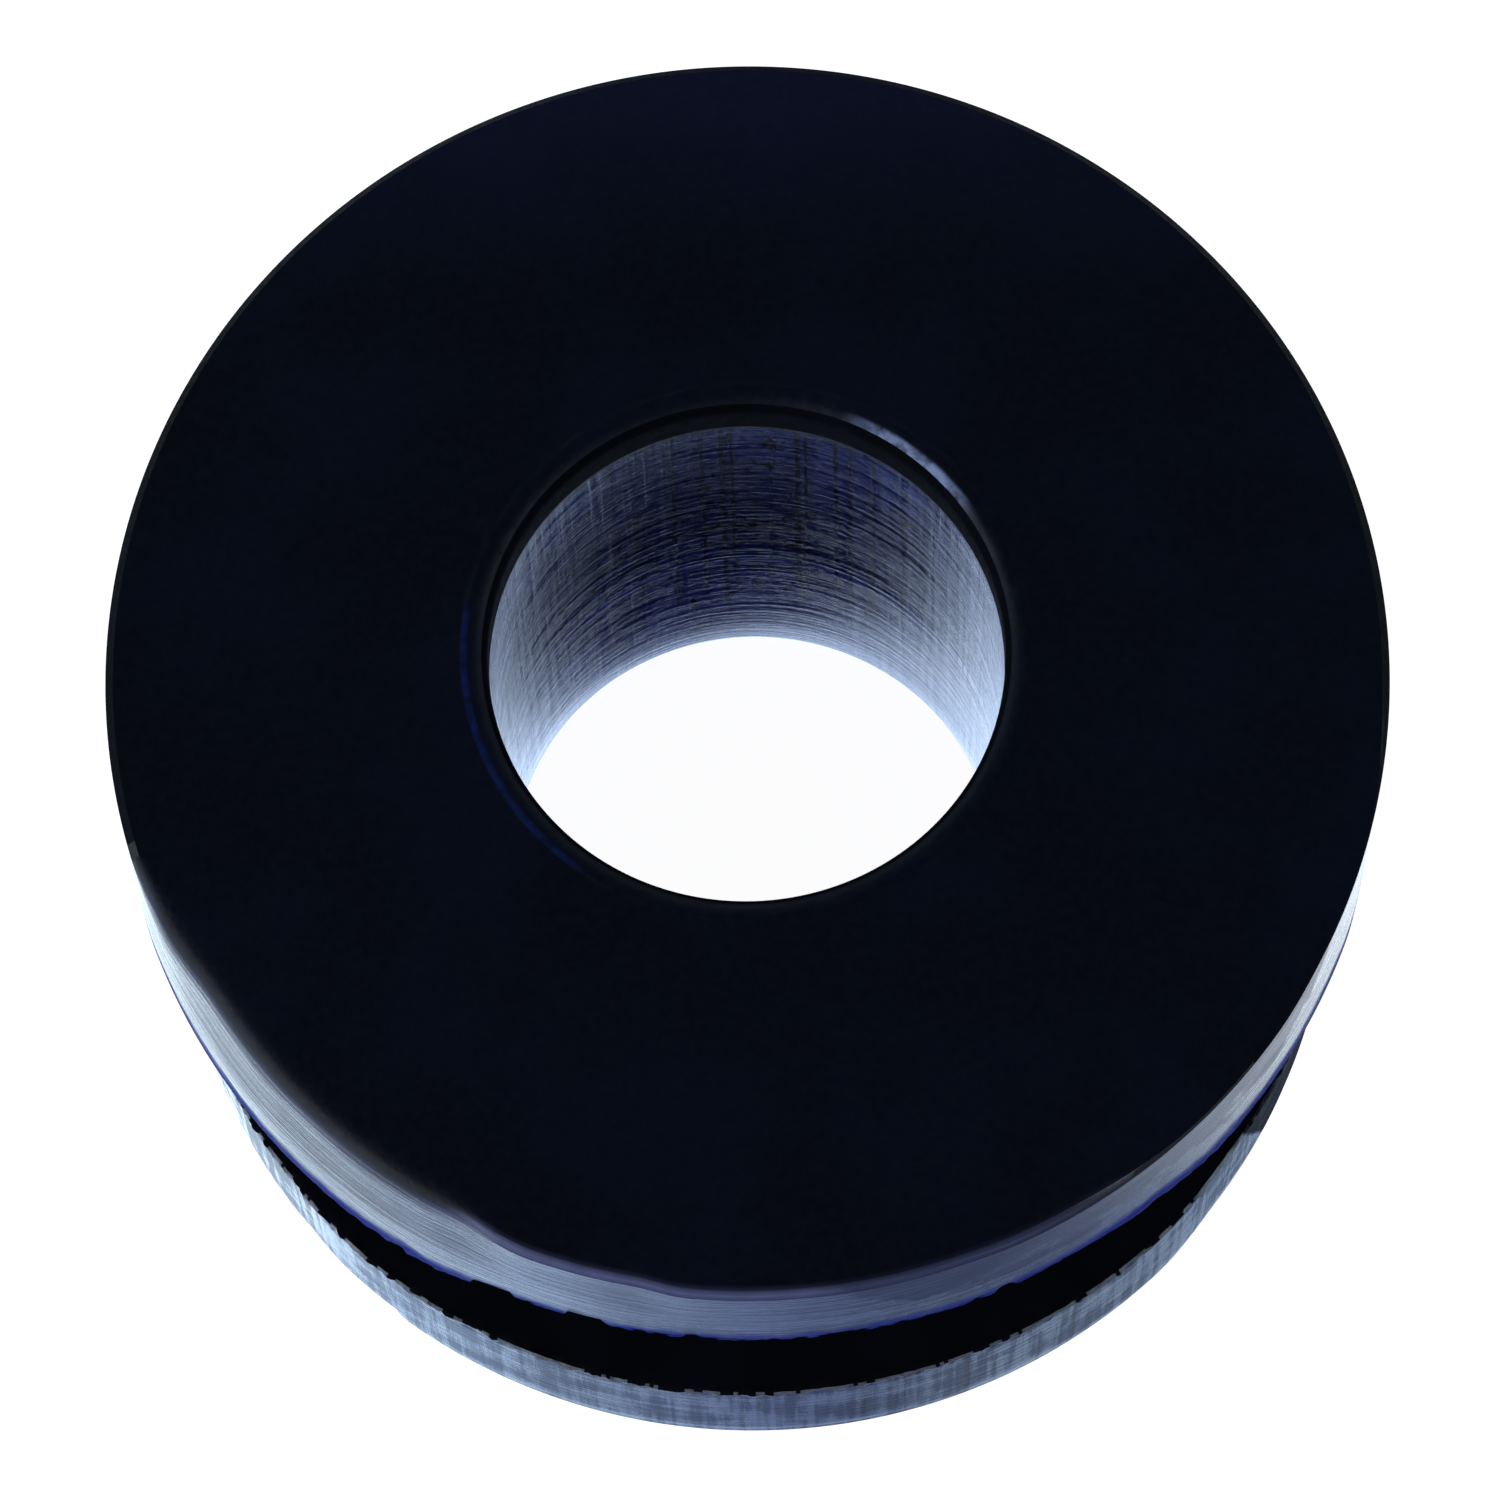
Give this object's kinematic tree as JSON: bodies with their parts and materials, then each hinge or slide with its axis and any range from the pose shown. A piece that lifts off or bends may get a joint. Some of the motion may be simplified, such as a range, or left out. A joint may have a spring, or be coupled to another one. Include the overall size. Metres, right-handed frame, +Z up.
{
  "type": "rubber grommet",
  "caption": "Moulded black rubber grommet: a thick ring with two flat flanges, a deep square groove between them for the edge of a sheet, and a plain bore through the middle.",
  "frame": {"origin": "centre of the lower flange's face, on the bore's axis, which is the surface that the grommet rests on", "axes": "+Z up along the bore's axis, from the lower flange to the upper one; the ring is the same all round, so +X and +Y are free"},
  "size_m": [0.0159, 0.0158, 0.0087],
  "materials": {
    "rubber": "moulded black rubber with a satin face and fine tool marks in the bore"
  },
  "bodies": {
    "root": {"grommet": "rubber"}
  },
  "joints": []
}
